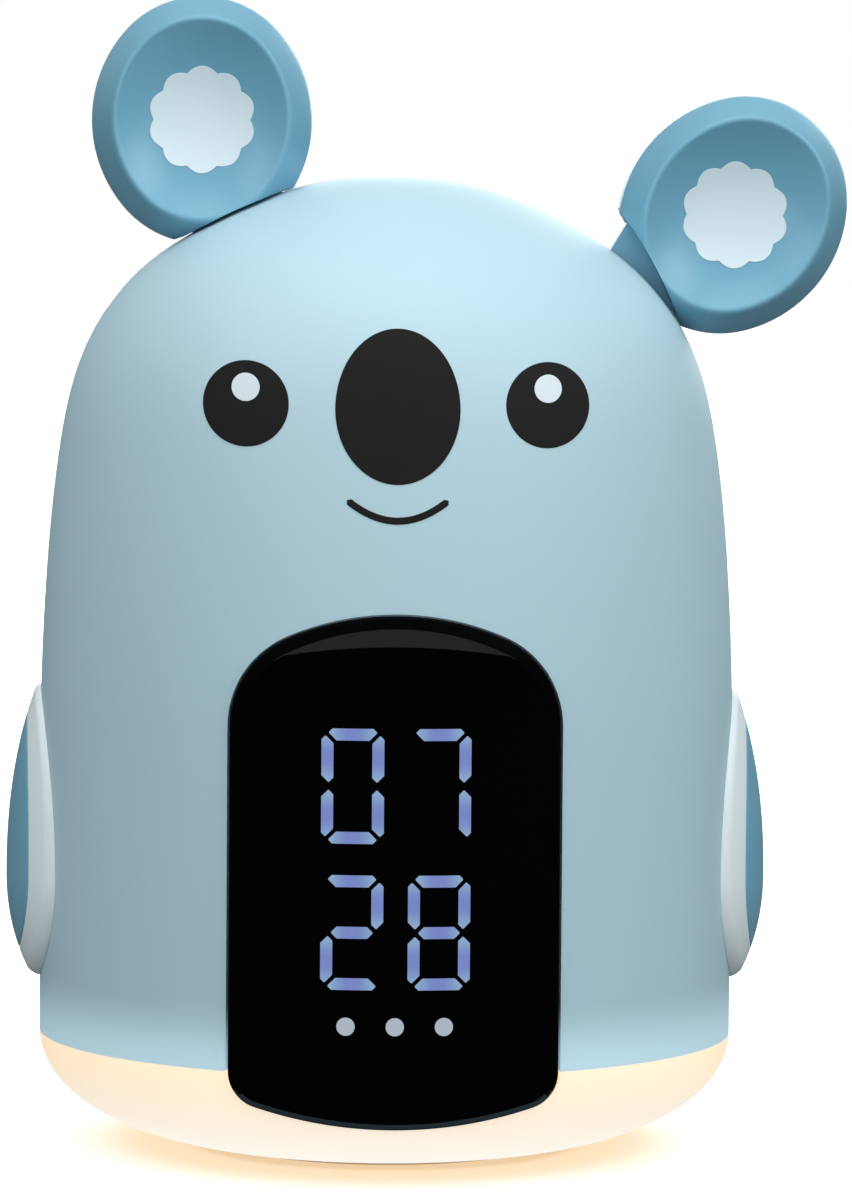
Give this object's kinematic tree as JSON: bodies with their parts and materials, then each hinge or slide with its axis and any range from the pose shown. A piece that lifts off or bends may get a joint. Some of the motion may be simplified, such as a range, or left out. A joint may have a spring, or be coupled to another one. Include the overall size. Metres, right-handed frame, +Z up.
{
  "type": "kids alarm clock with night light",
  "caption": "Domed digital alarm clock for a child, with a glowing base, two round swing-out ears and side arms.",
  "frame": {"origin": "centre of the round base, on the surface that the clock stands on", "axes": "+Z up, display towards -Y, +X to the right as seen from the display's side"},
  "size_m": [0.1256, 0.1062, 0.1718],
  "materials": {
    "case_blue": "fine satin texture",
    "bowl_diffuser": "translucent, glowing",
    "base_grey": "fine spark-eroded texture",
    "foot_rubber": "soft matt",
    "white_plastic": "satin white",
    "steel": "bright zinc plating",
    "board": "solder mask",
    "lens_black": "high gloss black",
    "black_plastic": "satin black",
    "digit_glow": "diffusing, lit from behind",
    "unlit_bar": "diffusing, unlit",
    "cable": "flat cable",
    "panel_blue": "fine satin texture",
    "button_white": "soft satin",
    "ear_blue": "smooth satin",
    "rim_pale": "smooth satin"
  },
  "bodies": {
    "case": {"body_shell": "case_blue", "light_bowl": "bowl_diffuser", "base_plate": "base_grey", "battery_door": "base_grey", "chassis": "base_grey", "cell_holder": "base_grey", "foot_ring": "foot_rubber", "reflector": "white_plastic", "board_sockets": "white_plastic", "light_lamps": "white_plastic", "display_lamps": "white_plastic", "base_screws": "steel", "small_screws": "steel", "coin_cell": "steel", "pivot_pins": "steel", "detent_springs": "steel", "power_inlet": "steel", "speaker_frame": "steel", "light_board": "board", "display_board": "board", "main_board": "board", "button_board": "board", "sensor_board": "board", "display_lens": "lens_black", "display_gasket": "black_plastic", "display_housing": "black_plastic", "processor": "black_plastic", "capacitors": "black_plastic", "speaker_magnet": "black_plastic", "speaker_cone": "black_plastic", "button_switches": "black_plastic", "hall_sensors": "black_plastic", "ear_carrier": "black_plastic", "hour_bars": "digit_glow", "minute_bars": "digit_glow", "indicator_lights": "digit_glow", "unlit_bars": "unlit_bar", "ribbon_cables": "cable", "rear_panel": "panel_blue", "left_arm_pad": "ear_blue", "right_arm_pad": "ear_blue", "left_arm_rim": "rim_pale", "right_arm_rim": "rim_pale"},
    "left_ear": {"left_ear_screws": "steel", "left_ear_magnet": "steel", "left_ear_front": "ear_blue", "left_ear_rear": "ear_blue", "left_ear_lever": "ear_blue"},
    "right_ear": {"right_ear_screws": "steel", "right_ear_magnet": "steel", "right_ear_front": "ear_blue", "right_ear_rear": "ear_blue", "right_ear_lever": "ear_blue"},
    "alarm_button": {"alarm_button": "button_white"},
    "time_button": {"time_button": "button_white"},
    "light_button": {"light_button": "button_white"},
    "minus_button": {"minus_button": "button_white"},
    "plus_button": {"plus_button": "button_white"}
  },
  "joints": [
    {"name": "left_ear_swing", "type": "hinge", "parent": "case", "child": "left_ear", "pos_m": [-0.0193, 0, 0.1117], "axis": [0, -1, 0], "range_deg": [0, 36.7]},
    {"name": "right_ear_swing", "type": "hinge", "parent": "case", "child": "right_ear", "pos_m": [0.0193, 0, 0.1117], "axis": [0, 1, 0], "range_deg": [-36.7, 0]},
    {"name": "alarm_button_press", "type": "slide", "parent": "case", "child": "alarm_button", "axis": [0, -1, 0], "range_m": [0, 0.0006], "stiffness_N_per_m": 1500},
    {"name": "time_button_press", "type": "slide", "parent": "case", "child": "time_button", "axis": [0, -1, 0], "range_m": [0, 0.0006], "stiffness_N_per_m": 1500},
    {"name": "light_button_press", "type": "slide", "parent": "case", "child": "light_button", "axis": [0, -1, 0], "range_m": [0, 0.0006], "stiffness_N_per_m": 1500},
    {"name": "minus_button_press", "type": "slide", "parent": "case", "child": "minus_button", "axis": [0, -1, 0], "range_m": [0, 0.0006], "stiffness_N_per_m": 1500},
    {"name": "plus_button_press", "type": "slide", "parent": "case", "child": "plus_button", "axis": [0, -1, 0], "range_m": [0, 0.0006], "stiffness_N_per_m": 1500}
  ]
}
